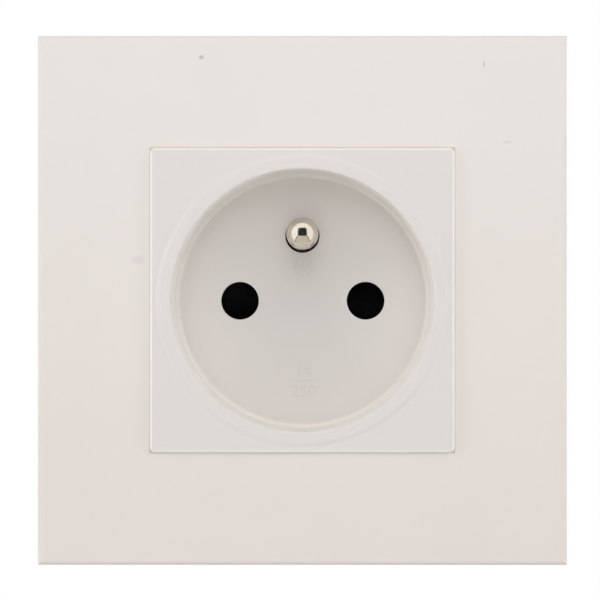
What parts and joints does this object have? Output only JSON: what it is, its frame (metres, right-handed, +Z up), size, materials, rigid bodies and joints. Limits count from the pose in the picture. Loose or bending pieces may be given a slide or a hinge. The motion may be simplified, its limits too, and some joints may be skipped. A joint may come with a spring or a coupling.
{
  "type": "wall socket",
  "caption": "Flush wall socket with a round recess, an earth pin and a sprung rotary shutter, in a square cover frame.",
  "frame": {"origin": "centre of the cover frame on the wall's surface", "axes": "+X right and +Z up for someone who faces the wall, +Y into the wall"},
  "size_m": [0.0786, 0.0379, 0.0786],
  "materials": {
    "frame_plastic": "satin white",
    "insert_plastic": "satin white",
    "support_steel": "zinc plated",
    "pin_nickel": "bright nickel on brass",
    "shutter_plastic": "matt black",
    "spring_steel": "bright drawn",
    "carrier_plastic": "matt dark grey",
    "contact_brass": "stamped",
    "terminal_brass": "sawn and drilled",
    "screw_steel": "yellow zinc plated",
    "housing_plastic": "matt light grey"
  },
  "bodies": {
    "socket": {"cover_frame": "frame_plastic", "socket_insert": "insert_plastic", "support_frame": "support_steel", "earth_pin": "pin_nickel", "shutter_spring": "spring_steel", "shutter_carrier": "carrier_plastic", "contact_live": "contact_brass", "contact_neutral": "contact_brass", "clamp_ring_live": "spring_steel", "clamp_ring_neutral": "spring_steel", "earth_strap": "contact_brass", "terminal_live": "terminal_brass", "terminal_neutral": "terminal_brass", "terminal_earth": "terminal_brass", "terminal_screw_live": "screw_steel", "terminal_screw_neutral": "screw_steel", "terminal_screw_earth": "screw_steel", "housing": "housing_plastic", "housing_screw_upper": "screw_steel", "housing_screw_lower": "screw_steel"},
    "shutter": {"shutter": "shutter_plastic"}
  },
  "joints": [
    {"name": "shutter_turn", "type": "hinge", "parent": "socket", "child": "shutter", "pos_m": [0, 0.0086, 0], "axis": [0, 1, 0], "range_deg": [0, 40], "stiffness_Nm_per_rad": 0.002, "springref_deg": -28.65, "deforming": ["shutter_spring"]}
  ]
}
